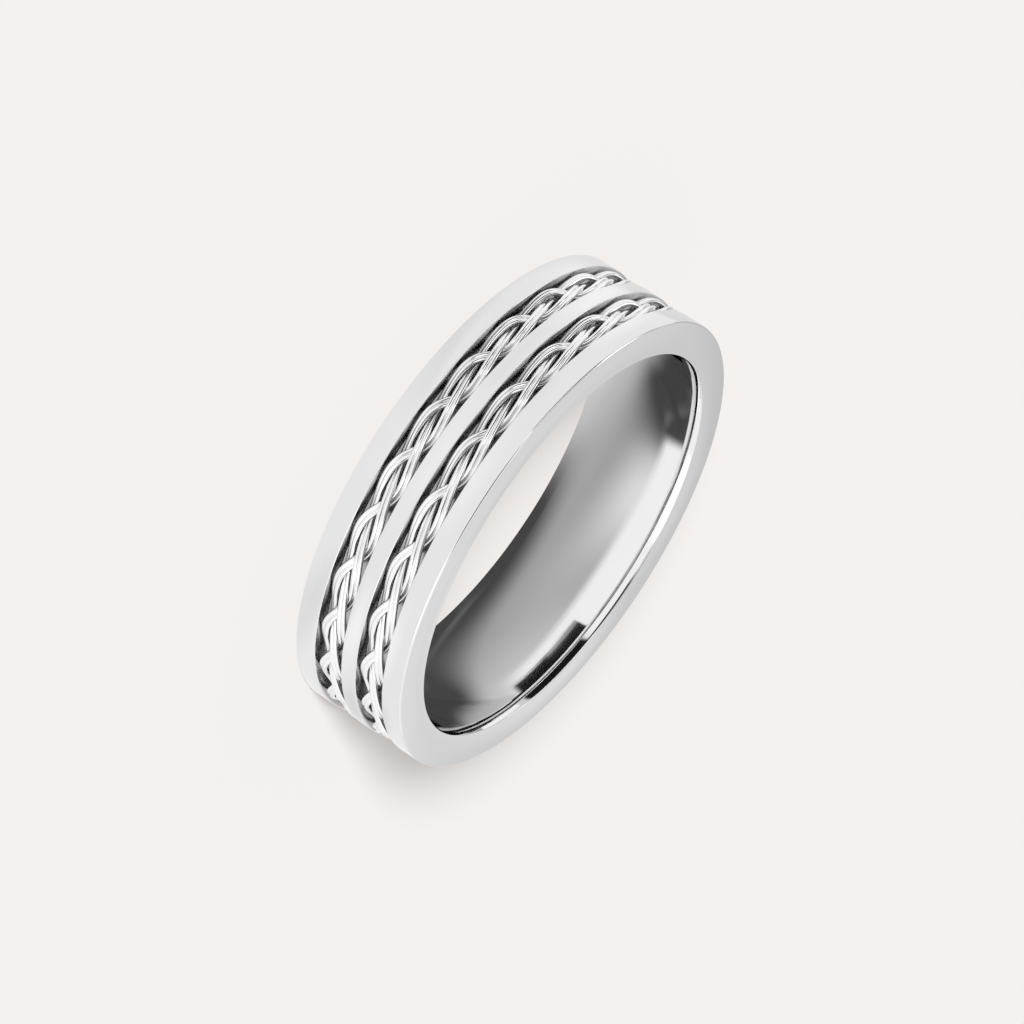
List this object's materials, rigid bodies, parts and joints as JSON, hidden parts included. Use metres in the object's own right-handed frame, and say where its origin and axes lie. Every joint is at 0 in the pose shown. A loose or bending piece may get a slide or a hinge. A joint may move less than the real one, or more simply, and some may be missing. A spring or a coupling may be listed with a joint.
{
  "type": "finger ring with plaited wire inlay",
  "caption": "Flat polished finger ring with two grooves round the outside, each holding a flat three-strand plait of fine twin wire.",
  "frame": {"origin": "centre of the back face, on the surface that the ring lies on", "axes": "+Z along the ring's axis, from the back face to the front face; X and Y are free, since the band is round"},
  "size_m": [0.0234, 0.0234, 0.006],
  "materials": {
    "band_steel": "high polish",
    "wire_steel": "bright drawn wire"
  },
  "bodies": {
    "root": {"band": "band_steel", "front_strand_1_wire_a": "wire_steel", "front_strand_1_wire_b": "wire_steel", "front_strand_2_wire_a": "wire_steel", "front_strand_2_wire_b": "wire_steel", "front_strand_3_wire_a": "wire_steel", "front_strand_3_wire_b": "wire_steel", "back_strand_1_wire_a": "wire_steel", "back_strand_1_wire_b": "wire_steel", "back_strand_2_wire_a": "wire_steel", "back_strand_2_wire_b": "wire_steel", "back_strand_3_wire_a": "wire_steel", "back_strand_3_wire_b": "wire_steel"}
  },
  "joints": []
}
